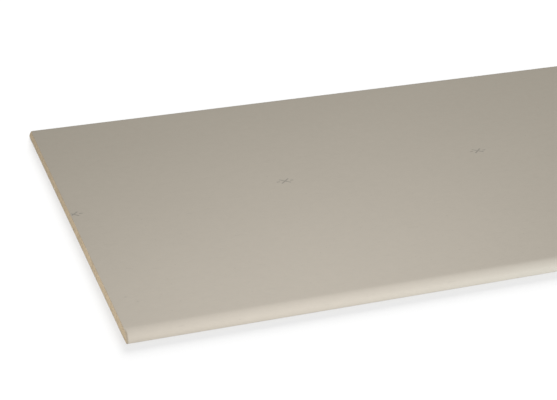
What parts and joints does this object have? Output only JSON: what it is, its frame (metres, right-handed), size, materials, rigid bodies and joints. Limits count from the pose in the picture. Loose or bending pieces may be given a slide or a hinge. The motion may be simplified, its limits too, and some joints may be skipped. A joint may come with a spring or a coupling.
{
  "type": "drywall sheet",
  "caption": "Flat paper-faced gypsum board with half-round long edges and square-cut open ends, lying face up, for lining walls and ceilings.",
  "frame": {"origin": "middle of the sheet's back, on the surface that it lies on", "axes": "+X along the sheet's length and its papered edges, +Y across its width, +Z out of the face"},
  "size_m": [2, 0.6, 0.0125],
  "materials": {
    "gypsum_core": "matte",
    "face_paper": "matte",
    "back_paper": "matte"
  },
  "bodies": {
    "root": {"gypsum_core": "gypsum_core", "face_paper": "face_paper", "back_paper": "back_paper"}
  },
  "joints": []
}
